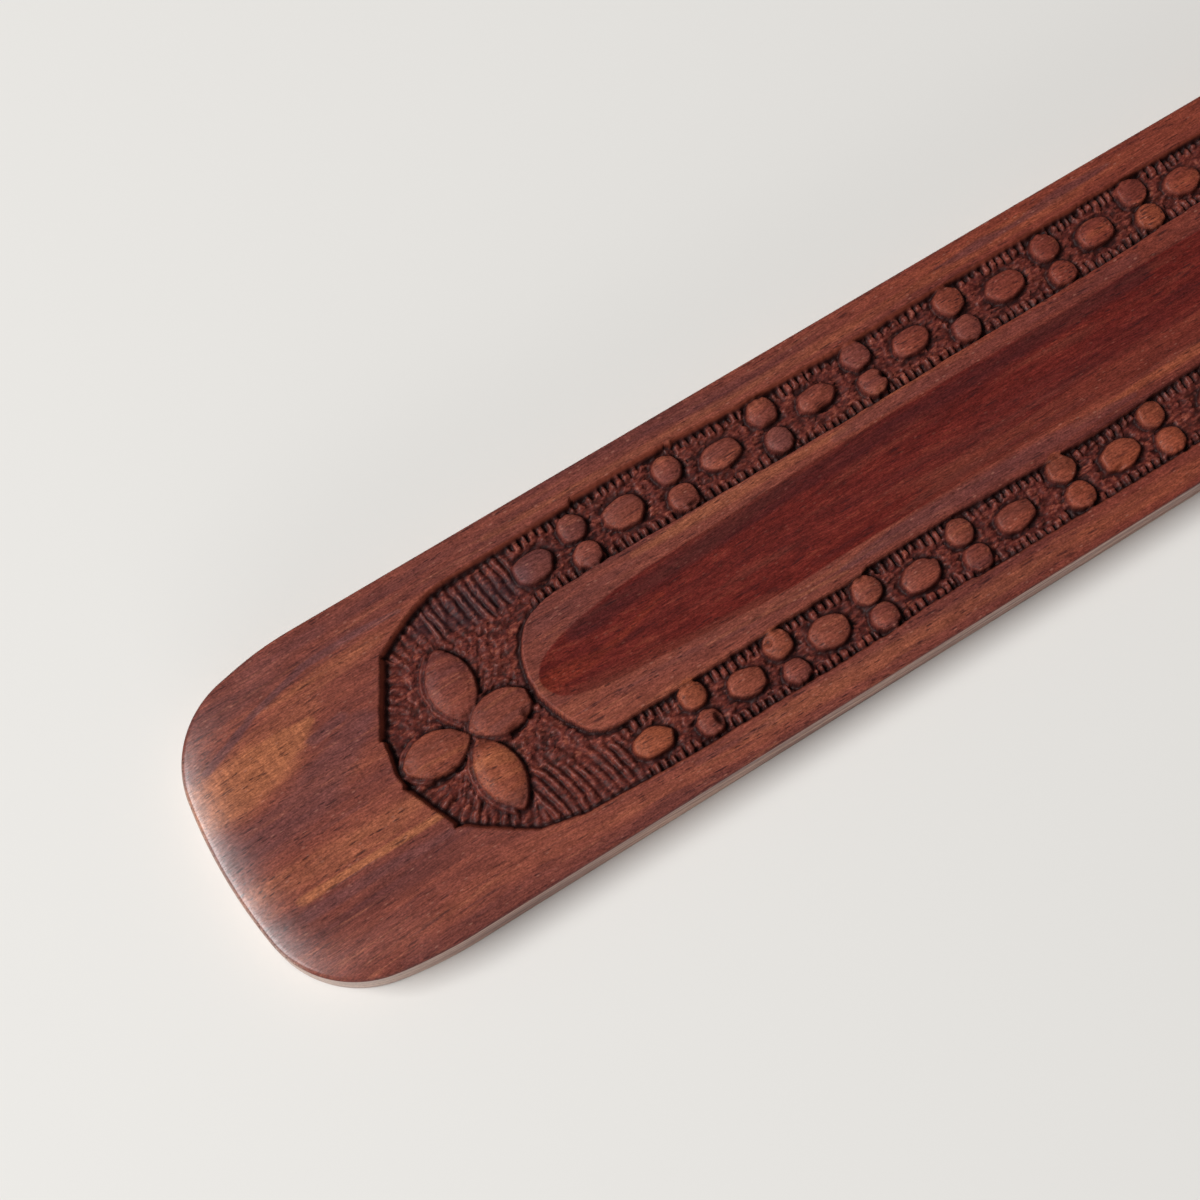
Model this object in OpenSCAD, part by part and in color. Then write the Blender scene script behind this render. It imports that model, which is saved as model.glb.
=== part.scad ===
// Hand-carved rosewood incense board: one length of wood with a carved border,
// an ash trough and a drilled hole for the stick. Millimetres.
// X runs from the plain tail (-X) to the raised head (+X), Z is up, the flat underside is Z = 0.

/* [Board] */
// Overall length
board_l = 250; // [225:1:290]
// Overall width
board_w = 40; // [38:0.5:52]
// Thickness of the wood
board_t = 6; // [5:0.25:9]
// Radius of the bowed end edge
end_bow_r = 60; // [50:1:80]
// Radius of the sides where they draw in towards each end
side_bow_r = 50; // [45:1:70]
// Length over which the sides draw in
side_bow_l = 20; // [18:0.5:23]
// Corner radius
corner_r = 12; // [9:0.25:13]
// Length over which the top is sanded down at each end
roll_l = 4.5; // [3:0.25:7]
// Height lost to that sanding at the very end
roll_drop = 0.5; // [0.2:0.05:0.9]

/* [Raised head] */
// Length of the raised head
sweep_l = 39; // [34:0.5:42]
// Rise of the underside at the head's edge
sweep_rise = 7; // [3:0.25:9]

/* [Carved border] */
// Plain border between the board's edge and the carving
border_w = 3.9; // [3:0.1:4.4]
// Width of each carved band
band_w = 8.05; // [7.7:0.05:8.6]
// Depth of the carved ground below the top
carve_d = 1.2; // [0.6:0.05:1.6]
// Plain wood between the end edge and the carving
plain_l = 21; // [19:0.5:24]
// Length of the rounded bay that holds the flower
bay_l = 18.4; // [18:0.1:21]

/* [Beads] */
// Number of oval beads along each band
oval_count = 13; // [9:2:15]
// Distance from the end edge to the first oval bead
oval_first = 46.5; // [45:0.5:50]
// Length of an oval bead
oval_l = 4.8; // [4:0.1:5.2]
// Width of an oval bead
oval_w = 3.2; // [2.6:0.1:3.6]
// Diameter of a round bead
bead_d = 3.4; // [2.8:0.1:3.5]
// Gap between the two round beads of a pair
bead_gap = 0.45; // [0.3:0.05:0.6]

/* [Flower] */
// Length of a petal
petal_l = 8.2; // [7:0.1:8.4]
// Width of a petal
petal_w = 5.4; // [4.2:0.1:5.5]
// Distance from the flower's centre to the petals that lie along the board
petal_in = 0.3; // [0.25:0.05:0.5]
// Distance from the flower's centre to the petals that lie across the board
cross_in = 1.4; // [1.3:0.1:1.8]

/* [Ash trough] */
// Plain ridge between each carved band and the trough
ridge_w = 2.4; // [1.8:0.1:2.8]
// Depth of the trough
trough_d = 2; // [1:0.1:2.4]
// Length over which the trough's floor rises to each end
trough_run = 28; // [20:1:40]
// Ridge left at the trough's tip
tip_w = 0.9; // [0.6:0.1:2]

/* [Stick hole] */
// Diameter of the drilled hole
hole_d = 2.2; // [1.6:0.1:3]
// Depth of the hole along its axis, from the middle of its mouth
hole_depth = 6; // [5:0.25:7]
// Lean of the stick above the flat of the board
hole_lean = 20; // [15:1:30]
// Distance from the head's edge to the middle of the mouth
hole_in = 11; // [9:0.5:13]

/* [Hidden] */
$fn = 96;

wood = [0.42, 0.20, 0.15];
big = 20;
half_l = board_l / 2;
half_w = board_w / 2;

// Plan of the ends: two bowed sides and a bowed end, joined by a corner arc.
// The cut at a corner is a hair larger than the tangent arc, so that it crosses both bows cleanly.
ease = 0.15;
end_c = [-half_l + end_bow_r, 0];
side_c = [-half_l + side_bow_l, half_w - side_bow_r];
end_reach = end_bow_r - corner_r;
side_reach = side_bow_r - corner_r;
gap_v = side_c - end_c;
gap_d = norm(gap_v);
gap_u = gap_v / gap_d;
gap_n = [gap_u[1], -gap_u[0]];
along = (end_reach * end_reach - side_reach * side_reach + gap_d * gap_d) / (2 * gap_d);
across = sqrt(end_reach * end_reach - along * along);
corner_c = end_c + along * gap_u + (gap_n[0] < 0 ? 1 : -1) * across * gap_n;
end_a = atan2(corner_c[1] - end_c[1], corner_c[0] - end_c[0]);
side_a = atan2(corner_c[1] - side_c[1], corner_c[0] - side_c[0]);

// Side view of the head: arcs about one centre, tangent to the flat of the board.
// The sanding arcs sit a hair above tangent, so that they cross the top cleanly.
lift = 0.02;
sweep_x = half_l - sweep_l;
sweep_r = round((sweep_l * sweep_l + sweep_rise * sweep_rise) / (2 * sweep_rise));
top_r = sweep_r - board_t;
roll_r = round(5 * (roll_l * roll_l + roll_drop * roll_drop) / roll_drop) / 10;
roll_a = asin((sweep_l - roll_l) / top_r);

// Rows of the carving, measured from the board's middle line.
band_out = half_w - border_w;
band_in = band_out - band_w;
band_mid = (band_out + band_in) / 2;
pair_y = (bead_d + bead_gap) / 2;
bay_x = -half_l + plain_l;
ridge_x = bay_x + bay_l;
oval_x = half_l - oval_first;
step_x = 2 * oval_x / (oval_count - 1);
flower_x = bay_x + bay_l / 2;

// Trough: a round-bottomed groove whose floor rises on a large wheel arc at both ends.
trough_w = 2 * (band_in - ridge_w);
trough_r = round(50 * (trough_w * trough_w / 4 + trough_d * trough_d) / trough_d) / 100;
wheel_r = round((trough_run * trough_run + trough_d * trough_d) / (2 * trough_d));
trough_x = ridge_x + tip_w + trough_run;
trough_z = board_t - trough_d;

// Stick hole: the middle of its mouth lies on the raised top, and its axis leans back over the trough.
hole_x = half_l - hole_in;
hole_z = sweep_r - sqrt(top_r * top_r - (hole_x - sweep_x) * (hole_x - sweep_x));

// A layer of the board between heights z0 and z1 above the underside, following the raised head.
module layer(z0, z1) {
  translate([-half_l - big, -half_w - big, z0])
    cube([sweep_x + half_l + big, board_w + 2 * big, z1 - z0]);
  intersection() {
    translate([sweep_x, half_w + big, sweep_r])
      rotate([90, 0, 0])
        difference() {
          cylinder(r = sweep_r - z0, h = board_w + 2 * big);
          translate([0, 0, -1])
            cylinder(r = sweep_r - z1, h = board_w + 2 * big + 2);
        }
    translate([sweep_x, -half_w - big, -big])
      cube([sweep_l + big, board_w + 2 * big, sweep_r + big]);
  }
}

// What the corner arc takes off the tail on the +Y side.
module corner_waste(h) {
  reach = 3 * corner_r;
  mid_a = (end_a + side_a) / 2;
  difference() {
    translate([0, 0, -1])
      linear_extrude(height = h + 2)
        polygon([
          corner_c,
          corner_c + reach * [cos(end_a), sin(end_a)],
          corner_c + reach * [cos(mid_a), sin(mid_a)],
          corner_c + reach * [cos(side_a), sin(side_a)]
        ]);
    translate([corner_c[0], corner_c[1], -2])
      cylinder(r = corner_r + ease, h = h + 4);
  }
}

// The tail end of the plan, as a solid of height h.
module plan_end(h) {
  difference() {
    intersection() {
      translate([-half_l - 2, -half_w - 2, 0])
        cube([side_bow_l + 2, board_w + 4, h]);
      translate([end_c[0], end_c[1], 0])
        cylinder(r = end_bow_r, h = h);
      translate([side_c[0], side_c[1], 0])
        cylinder(r = side_bow_r, h = h);
      translate([side_c[0], -side_c[1], 0])
        cylinder(r = side_bow_r, h = h);
    }
    for (s = [0, 1])
      mirror([0, s, 0])
        corner_waste(h);
  }
}

// The whole plan, as a solid of height h.
module plan(h) {
  translate([-half_l + side_bow_l, -half_w, 0])
    cube([board_l - 2 * side_bow_l, board_w, h]);
  for (s = [0, 1])
    mirror([s, 0, 0])
      plan_end(h);
}

// What the sanding takes off the top at the tail, and at the raised head.
module roll_tail() {
  difference() {
    translate([-half_l - 1, -half_w - 1, board_t - 3 * roll_drop])
      cube([roll_l + 3, board_w + 2, big]);
    translate([-half_l + roll_l, half_w + 2, board_t - roll_r + lift])
      rotate([90, 0, 0])
        cylinder(r = roll_r, h = board_w + 4);
  }
}

module roll_head() {
  translate([sweep_x, 0, sweep_r])
    rotate([0, -roll_a, 0])
      translate([0, 0, -top_r])
        difference() {
          translate([-2, -half_w - 1, -3 * roll_drop])
            cube([3 * roll_l, board_w + 2, big]);
          translate([0, half_w + 2, -roll_r + lift])
            rotate([90, 0, 0])
              cylinder(r = roll_r, h = board_w + 4);
        }
}

// The sanded slab, cut to the plan but not yet carved.
module blank() {
  intersection() {
    difference() {
      layer(0, board_t);
      roll_tail();
      roll_head();
    }
    translate([0, 0, -1])
      plan(board_t + sweep_rise + big);
  }
}

// One leaf-shaped petal, pointed at both ends, lying along +X from x0.
// Its straight edges meet the round middle just inside the tangent points.
module petal(x0, h) {
  r = petal_w / 2;
  a = petal_l / 2;
  d = 0.985 * r;
  tx = d * d / a;
  ty = d * sqrt(1 - d * d / (a * a));
  translate([x0 + a, 0, 0]) {
    cylinder(r = r, h = h);
    linear_extrude(height = h)
      polygon([[-a, 0], [-tx, ty], [tx, ty], [a, 0], [tx, -ty], [-tx, -ty]]);
  }
}

module flower(h) {
  for (s = [0, 180])
    rotate([0, 0, s]) {
      petal(petal_in, h);
      rotate([0, 0, 90])
        petal(cross_in, h);
    }
}

module oval(h) {
  run = (oval_l - oval_w) / 2;
  for (s = [-1, 1])
    translate([s * run, 0, 0])
      cylinder(d = oval_w, h = h);
  translate([-run, -oval_w / 2, 0])
    cube([2 * run, oval_w, h]);
}

// The beads of one band: oval beads, with a pair of round beads halfway between each two.
module bead_row(h) {
  for (i = [0 : oval_count - 1])
    translate([-oval_x + i * step_x, 0, 0])
      oval(h);
  for (i = [0 : oval_count - 2])
    for (s = [-1, 1])
      translate([-oval_x + (i + 0.5) * step_x, s * pair_y, 0])
        cylinder(d = bead_d, h = h);
}

// The sunk ground of the border: two bands joined by a chisel-cut bay at each end.
module bay(h) {
  linear_extrude(height = h)
    polygon([
      [bay_x, -0.2 * band_out],
      [bay_x, 0.2 * band_out],
      [bay_x + 0.30 * bay_l, 0.66 * band_out],
      [bay_x + 0.56 * bay_l, 0.89 * band_out],
      [bay_x + 0.90 * bay_l, band_out],
      [ridge_x + band_in, band_out],
      [ridge_x + band_in, -band_out],
      [bay_x + 0.90 * bay_l, -band_out],
      [bay_x + 0.56 * bay_l, -0.89 * band_out],
      [bay_x + 0.30 * bay_l, -0.66 * band_out]
    ]);
}

module ridge(h) {
  run = -ridge_x - band_in;
  translate([-run, -band_in, -1])
    cube([2 * run, 2 * band_in, h + 2]);
  for (s = [-1, 1])
    translate([s * run, 0, -1])
      cylinder(r = band_in, h = h + 2);
}

module ground(h) {
  difference() {
    union() {
      translate([ridge_x + band_in, -band_out, 0])
        cube([-2 * (ridge_x + band_in), 2 * band_out, h]);
      for (s = [0, 1])
        mirror([s, 0, 0])
          bay(h);
    }
    ridge(h);
    for (s = [-1, 1])
      translate([0, s * band_mid, -1])
        bead_row(h + 2);
    for (s = [0, 1])
      mirror([s, 0, 0])
        translate([flower_x, 0, -1])
          flower(h + 2);
  }
}

module trough_end() {
  intersection() {
    translate([trough_x, 0, trough_z + wheel_r])
      rotate([90, 0, 0])
        rotate_extrude()
          translate([wheel_r - trough_r, 0])
            circle(r = trough_r);
    translate([trough_x - trough_run - 8, -trough_r, trough_z - 1])
      cube([trough_run + 8, 2 * trough_r, trough_d + 3]);
  }
}

module trough() {
  intersection() {
    translate([trough_x, 0, trough_z + trough_r])
      rotate([0, 90, 0])
        cylinder(r = trough_r, h = -2 * trough_x);
    translate([trough_x, -trough_r, trough_z - 1])
      cube([-2 * trough_x, 2 * trough_r, trough_d + 3]);
  }
  for (s = [0, 1])
    mirror([s, 0, 0])
      trough_end();
}

module stick_hole() {
  translate([hole_x, 0, hole_z])
    rotate([0, hole_lean - 90, 0])
      translate([0, 0, -hole_depth])
        cylinder(d = hole_d, h = hole_depth + 8);
}

module board() {
  color(wood)
    difference() {
      blank();
      intersection() {
        layer(board_t - carve_d, board_t + 3);
        ground(board_t + sweep_rise + 10);
      }
      trough();
      stick_hole();
    }
}

board();
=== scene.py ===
"""A hand-carved rosewood incense board, dressed over its CAD frame.

The board is one mesh: a fine height field for the carved top, with its sides, underside and stick hole
joined on. It is worked out in millimetres:
  u  distance along the board from the tail's end edge
  y  distance across the board from its middle line
  h  height above the underside, before the head sweeps up
"""

import bpy
import numpy as np
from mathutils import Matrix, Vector


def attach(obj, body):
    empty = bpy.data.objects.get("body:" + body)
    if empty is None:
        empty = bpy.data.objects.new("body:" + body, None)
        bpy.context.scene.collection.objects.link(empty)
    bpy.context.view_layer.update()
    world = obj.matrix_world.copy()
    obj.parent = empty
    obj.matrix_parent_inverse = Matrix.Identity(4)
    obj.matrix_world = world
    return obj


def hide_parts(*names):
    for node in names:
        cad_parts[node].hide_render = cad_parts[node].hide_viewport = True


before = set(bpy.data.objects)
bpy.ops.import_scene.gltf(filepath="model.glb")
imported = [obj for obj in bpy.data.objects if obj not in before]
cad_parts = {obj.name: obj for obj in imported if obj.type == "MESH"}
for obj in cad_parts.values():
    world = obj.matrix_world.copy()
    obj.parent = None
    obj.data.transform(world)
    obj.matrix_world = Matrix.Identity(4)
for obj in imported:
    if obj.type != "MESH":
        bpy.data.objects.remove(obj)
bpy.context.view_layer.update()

MM = 0.001

# Sizes repeated from part.scad.
BOARD_L = 250.0
HALF_L = BOARD_L / 2
HALF_W = 20.0
BOARD_T = 6.0
END_BOW_R = 60.0
SIDE_BOW_R = 50.0
SIDE_BOW_L = 20.0
CORNER_R = 12.0
ROLL_L = 4.5
ROLL_DROP = 0.5
SWEEP_L = 39.0
SWEEP_R = 112.0
CARVE_D = 1.2
BAND_MID = 12.075
OVAL_COUNT = 13
OVAL_FIRST = 46.5
OVAL_SIZE = (4.8, 3.2)
BEAD_D = 3.4
PAIR_Y = 1.925
TROUGH_R = 8.98
HOLE_D = 2.2
HOLE_DEPTH = 6.0
HOLE_LEAN = 20.0
HOLE_IN = 11.0

# The finer things of this scene.
SANDED_OFF = 0.02
ARRIS_R = 0.45
UNDER_ARRIS_R = 0.35
CARVED_FROM = 20.2
CARVED_STEP = 0.15
PLAIN_STEP = 0.42
# The underside: strips across it, and how many grid lines at each end are left to one fan.
UNDER_STRIPS = 8
FAN_LINES = 8


# ---- small maths


def smoothstep(low, high, value):
    t = np.clip((value - low) / (high - low), 0.0, 1.0)
    return t * t * (3 - 2 * t)


def mix(a, b, t):
    return a + (b - a) * t


def lattice_noise(a, b, seed):
    """Smooth noise in -1..1 over cells of size 1. It repeats after 256 cells."""
    table = np.random.default_rng(seed).uniform(-1, 1, (256, 256))
    ia = np.floor(a).astype(int)
    ib = np.floor(b).astype(int)
    share = smoothstep(0, 1, a - ia)
    low, high = (mix(table[ia % 256, j % 256], table[(ia + 1) % 256, j % 256], share) for j in (ib, ib + 1))
    return mix(low, high, smoothstep(0, 1, b - ib))


def rough_noise(a, b, seed, octaves=3):
    total = np.zeros(np.broadcast(a, b).shape)
    size = 1.0
    for k in range(octaves):
        total += size * lattice_noise(a * 2**k + 17.3 * k, b * 2**k + 5.1 * k, seed + k)
        size *= 0.55
    return total


def chipped(a, b, seed):
    """Flat chips of random height and tilt, about one a cell. Also a random number for each chip, 0 to 1."""
    rng = np.random.default_rng(seed)
    cells = 128
    off_a, off_b, height, tilt_a, tilt_b, number = rng.uniform(0, 1, (6, cells, cells))
    ia = np.floor(a).astype(int)
    ib = np.floor(b).astype(int)
    nearest = np.full(a.shape, 99.0)
    level = np.zeros(a.shape)
    picked = np.zeros(a.shape)
    for da in (-1, 0, 1):
        for db in (-1, 0, 1):
            cell = ((ia + da) % cells, (ib + db) % cells)
            to_a = a - ia - da - off_a[cell]
            to_b = b - ib - db - off_b[cell]
            distance = to_a**2 + to_b**2
            closer = distance < nearest
            nearest = np.where(closer, distance, nearest)
            slope = 3.2 * (tilt_a[cell] - 0.5) * to_a + 3.2 * (tilt_b[cell] - 0.5) * to_b
            level = np.where(closer, 2 * height[cell] - 1 + slope, level)
            picked = np.where(closer, number[cell], picked)
    return level, picked


def segment_distance(x0, y0, x1, y1, px, py):
    """Distance from points to a segment, and how far along it the nearest place is, 0 to 1."""
    ex = x1 - x0
    ey = y1 - y0
    t = np.clip(((px - x0) * ex + (py - y0) * ey) / (ex * ex + ey * ey), 0, 1)
    return np.hypot(px - x0 - t * ex, py - y0 - t * ey), t


def inside_polygon(points, px, py):
    inside = np.zeros(px.shape, bool)
    for (x0, y0), (x1, y1) in zip(points, points[1:] + points[:1]):
        if y0 == y1:
            continue
        crosses = (y0 > py) != (y1 > py)
        inside ^= crosses & (px < x0 + (py - y0) * (x1 - x0) / (y1 - y0))
    return inside


def blurred(field, cells):
    """Mean over a square of 2 * cells + 1 grid cells."""
    size = 2 * cells + 1
    for _ in range(2):
        padded = np.pad(field, ((cells + 1, cells), (0, 0)), mode="edge")
        total = np.cumsum(padded, axis=0)
        field = ((total[size:] - total[:-size]) / size).T
    return field


# ---- plan of the board

# Centres of the bowed end's arc and of a bowed side's.
END_C = np.array((END_BOW_R, 0.0))
SIDE_C = np.array((SIDE_BOW_L, HALF_W - SIDE_BOW_R))


def corner_centre():
    """Centre of the arc that joins the bowed end to a bowed side, as part.scad finds it."""
    end_reach = END_BOW_R - CORNER_R
    side_reach = SIDE_BOW_R - CORNER_R
    gap = SIDE_C - END_C
    gap_d = np.hypot(*gap)
    along = (end_reach**2 - side_reach**2 + gap_d**2) / (2 * gap_d)
    across = np.sqrt(end_reach**2 - along**2)
    outwards = np.array((gap[1], -gap[0])) / gap_d
    return END_C + along * gap / gap_d + across * outwards


def unit(vector):
    return vector / np.hypot(*vector)


CORNER_C = corner_centre()
END_DIR = unit(CORNER_C - END_C)
SIDE_DIR = unit(CORNER_C - SIDE_C)
END_TANGENT = CORNER_C + CORNER_R * END_DIR
SIDE_TANGENT = CORNER_C + CORNER_R * SIDE_DIR
CORNER_POINT = CORNER_C + CORNER_R * unit(END_DIR + SIDE_DIR)


def end_edge(y):
    """How far the end edge lies from the tip of the board, at y."""
    y = np.abs(y)
    bow = END_BOW_R - np.sqrt(END_BOW_R**2 - y**2)
    arc = CORNER_C[0] - np.sqrt(np.maximum(CORNER_R**2 - (y - CORNER_C[1]) ** 2, 0))
    return np.where(y < END_TANGENT[1], bow, arc)


def side_edge(m):
    """Half the board's width at distance m from the tip."""
    bow = SIDE_C[1] + np.sqrt(SIDE_BOW_R**2 - np.minimum(m - SIDE_BOW_L, 0) ** 2)
    arc = CORNER_C[1] + np.sqrt(np.maximum(CORNER_R**2 - (m - CORNER_C[0]) ** 2, 0))
    return np.where(m > SIDE_TANGENT[0], bow, arc)


def edge_distances(m, y):
    """Distance from the nearest edge, and from the end edge with its two corners."""
    y = np.abs(y)
    end = np.where(m < END_C[0], END_BOW_R - np.hypot(m - END_C[0], y - END_C[1]), END_BOW_R)
    side = np.where(m < SIDE_BOW_L, SIDE_BOW_R - np.hypot(m - SIDE_C[0], y - SIDE_C[1]), HALF_W - y)
    dm = m - CORNER_C[0]
    dy = y - CORNER_C[1]
    past_end = END_DIR[0] * dy - END_DIR[1] * dm < 0
    past_side = SIDE_DIR[0] * dy - SIDE_DIR[1] * dm > 0
    corner = CORNER_R - np.hypot(dm, dy)
    in_corner = past_end & past_side & (dm < 0) & (dy > 0)
    nearest = np.minimum(end, side)
    nearest = np.where(in_corner, np.minimum(corner, nearest), nearest)
    # Past the corner the rounding of the end dies away gently along the side.
    beyond = ~past_side & (dy > 0)
    tm = m - SIDE_TANGENT[0]
    ty = y - SIDE_TANGENT[1]
    along = np.maximum(SIDE_DIR[1] * tm - SIDE_DIR[0] * ty, 0)
    to_tangent = np.hypot(SIDE_DIR[0] * tm + SIDE_DIR[1] * ty, along**2 / (along + 4.0))
    rolled = np.where(in_corner, np.minimum(corner, end), np.where(beyond, to_tangent, end))
    return np.maximum(nearest, 0), np.maximum(rolled, 0)


def swept(u, h):
    """Height of a point once the head has swept up."""
    reach = np.clip(u - (BOARD_L - SWEEP_L), 0, None)
    return np.where(reach > 0, SWEEP_R - np.sqrt((SWEEP_R - h) ** 2 - reach**2), h)


# ---- lines of the grid

# Close grid lines round the arris, as distances from the edge.
EDGE_STEPS = np.array((0.0, 0.025, 0.07, 0.14, 0.23, 0.34, 0.48))
# The carving lies within this distance of the middle line, and the plain wood beside it has a few lines.
CARVED_TO = 16.9
PLAIN_LINES = 8


def plain_lines(width, count):
    """Grid lines from an edge over the plain wood beside it, close at the arris."""
    return np.concatenate((EDGE_STEPS[:-1], np.linspace(EDGE_STEPS[-1], width, count)))


def carved_lines(start, end):
    return np.linspace(start, end, round((end - start) / CARVED_STEP) + 1)


def grid_u():
    """Grid lines along the board."""
    end = plain_lines(CARVED_FROM, round((CARVED_FROM - EDGE_STEPS[-1]) / PLAIN_STEP) + 1)
    carved = carved_lines(CARVED_FROM, BOARD_L - CARVED_FROM)
    return np.concatenate((end[:-1], carved, (BOARD_L - end[::-1])[1:]))


def grid_b():
    """Grid lines across the board, as parts of its half width."""
    side = plain_lines(HALF_W - CARVED_TO, PLAIN_LINES)
    carved = carved_lines(-CARVED_TO, CARVED_TO)
    return np.concatenate((side[:-1] - HALF_W, carved, (HALF_W - side[::-1])[1:])) / HALF_W


lines_u = grid_u()
lines_b = grid_b()


def board_place(lines, b):
    """u and y of grid points: the grid follows the plan of each end, and is square between them."""
    line, b = np.broadcast_arrays(lines, b)
    head = line > HALF_L
    m = np.where(head, BOARD_L - line, line)
    near = np.clip(1 - m / SIDE_BOW_L, 0, 1)
    along = m + end_edge(CORNER_POINT[1] * b) * near
    y = b * side_edge(m + CORNER_POINT[0] * near)
    return np.where(head, BOARD_L - along, along), y


U, Y = board_place(lines_u[:, None], lines_b[None, :])
HEAD = U > HALF_L
# Both ends carry the same outlines, turned round: M runs from the nearer end and V across it.
M = np.where(HEAD, BOARD_L - U, U)
V = np.where(HEAD, -Y, Y)
carved_u = slice(np.searchsorted(lines_u, CARVED_FROM), np.searchsorted(lines_u, BOARD_L - CARVED_FROM) + 1)

# ---- the sanded blank

EDGE, END_EDGE = edge_distances(M, V)
roll_r = (ROLL_L**2 + ROLL_DROP**2) / (2 * ROLL_DROP)
rolled = roll_r - np.sqrt(roll_r**2 - np.clip(ROLL_L - END_EDGE, 0, ROLL_L) ** 2)
worn = ARRIS_R - np.sqrt(ARRIS_R**2 - np.clip(ARRIS_R - EDGE, 0, ARRIS_R) ** 2)


def sanded(u, y):
    """Height of the flat top, which hand sanding leaves a little uneven."""
    return BOARD_T - SANDED_OFF + 0.035 * rough_noise(u / 16, y / 7, 11)


TOP = mix(BOARD_T - SANDED_OFF, sanded(U, Y), smoothstep(0, 3, EDGE)) - rolled - worn

# ---- outlines of the carving

# The outer wall of the recess: chisel-cut facets, from the upper band round the bay to the lower one.
# (m, v) of each corner, and how wide the sloping cut of the facet that follows it is.
OUTER_WALL = [
    (126, 16.2, 0.5), (101.5, 16.15, 0.55), (90, 15.9, 0.5), (76.8, 16.2, 0.5), (68, 16.6, 0.45),
    (67.6, 16.3, 0.3), (67, 16.75, 0.6), (54.4, 16.75, 0.3), (54, 16.35, 0.45), (43.8, 16.1, 0.3),
    (36.9, 15.9, 0.35), (34.6, 15.6, 0.4), (31.2, 14.4, 0.4), (26.6, 12, 0.7), (21.6, 3.5, 0.3),
    (22.1, 3.3, 0.5), (21.3, -0.6, 0.5), (21.4, -2, 0.5), (21.1, -2.3, 0.5), (21.5, -2.9, 0.6),
    (23.85, -8.6, 0.5), (23.7, -9.1, 0.5), (24.6, -9.4, 0.6), (29, -12.6, 0.5), (31.6, -14.2, 0.4),
    (36.5, -15.3, 0.35), (43, -15.7, 0.35), (52, -16.05, 0.35), (76.6, -16.05, 0.3), (81.3, -15.7, 0.3),
    (87, -15.65, 0.3), (89.4, -15.95, 0.35), (104.7, -16.1, 0.35), (126, -16.2, 0.35),
]
# The edge of the ridge that carries the trough.
RIDGE_EDGE = [
    (126, 8), (101, 7.9), (88.8, 7.7), (71, 7.85), (53.7, 8.15), (47, 8), (45.1, 7.75), (43.4, 7.2),
    (42.2, 6.45), (41.2, 5.4), (40.3, 3.9), (39.7, 2.3), (39.4, 0.5), (39.4, -1.2), (39.8, -3),
    (40.5, -4.8), (41.4, -6.6), (42.1, -7.5), (43.2, -8.2), (44.6, -8.55), (52, -8.6), (65.6, -8.4),
    (77.5, -8.35), (78.4, -8), (89, -8), (99.4, -8.4), (110.2, -8.6), (118, -8.3), (126, -8),
]
# How wide the sloping cut along the ridge is.
RIDGE_CUT = 0.2


def wall_field(corners, m, v):
    """Distance from an open outline, positive towards the middle line of the board. Also the width of the
    nearest cut, and how far along the outline the place lies."""
    nearest = np.full(m.shape, 99.0)
    width = np.full(m.shape, 0.3)
    along = np.zeros(m.shape)
    walked = 0.0
    for first, second in zip(corners, corners[1:]):
        d, t = segment_distance(*first[:2], *second[:2], m, v)
        closer = d < nearest
        nearest = np.where(closer, d, nearest)
        length = np.hypot(second[0] - first[0], second[1] - first[1])
        along = np.where(closer, walked + t * length, along)
        walked += length
        if len(first) > 2:
            width = np.where(closer, first[2], width)
    # The outline is closed well past the middle of the board.
    closed = [corner[:2] for corner in corners] + [(BOARD_L, corners[-1][1]), (BOARD_L, corners[0][1])]
    inside = inside_polygon(closed, m, v)
    return np.where(inside, nearest, -nearest), width, along


cm = M[carved_u]
cv = V[carved_u]
cu = U[carved_u]
cy = Y[carved_u]
head = HEAD[carved_u]
outer, wall_width, wall_along = wall_field(OUTER_WALL, cm, cv)
ridge_in, _, ridge_along = wall_field(RIDGE_EDGE, cm, cv)
inner = -ridge_in

# Small wander of the hand along both walls.
outer = outer + 0.05 * lattice_noise(wall_along / 1.3, head * 3.0, 21)
outer = outer + 0.03 * lattice_noise(wall_along / 0.4, head * 3.0, 22)
inner = inner + 0.06 * lattice_noise(ridge_along / 1.1, head * 3.0, 23)
outer_cut = np.clip(outer / wall_width, 0, 1)
inner_cut = np.clip(inner / RIDGE_CUT, 0, 1)
recess = outer_cut * inner_cut

# ---- beads and petals

top = TOP[carved_u]
swell = lattice_noise(cu / 4.5, cy / 3.0, 47)
lift = np.zeros(cm.shape)
groove = np.zeros(cm.shape)
tone = np.zeros(cm.shape)
crown_cut = np.zeros(cm.shape)


def window(m_mid, v_mid, reach, at_head):
    """The carved grid round a place: its rows and columns, and how far each point lies from the place."""
    u_mid = BOARD_L - m_mid if at_head else m_mid
    y_mid = -v_mid if at_head else v_mid
    turn = -1 if at_head else 1
    us = lines_u[carved_u]
    ys = lines_b * HALF_W
    rows = slice(np.searchsorted(us, u_mid - reach), np.searchsorted(us, u_mid + reach))
    cols = slice(np.searchsorted(ys, y_mid - reach), np.searchsorted(ys, y_mid + reach))
    where = (rows, cols)
    return where, turn * (cu[where] - u_mid), turn * (cy[where] - y_mid)


def smooth_max(a, b, soft):
    """The larger of two fields, with the crease between them rounded."""
    t = np.clip(0.5 + 0.5 * (a - b) / soft, 0, 1)
    return mix(b, a, t) + soft * t * (1 - t)


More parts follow.
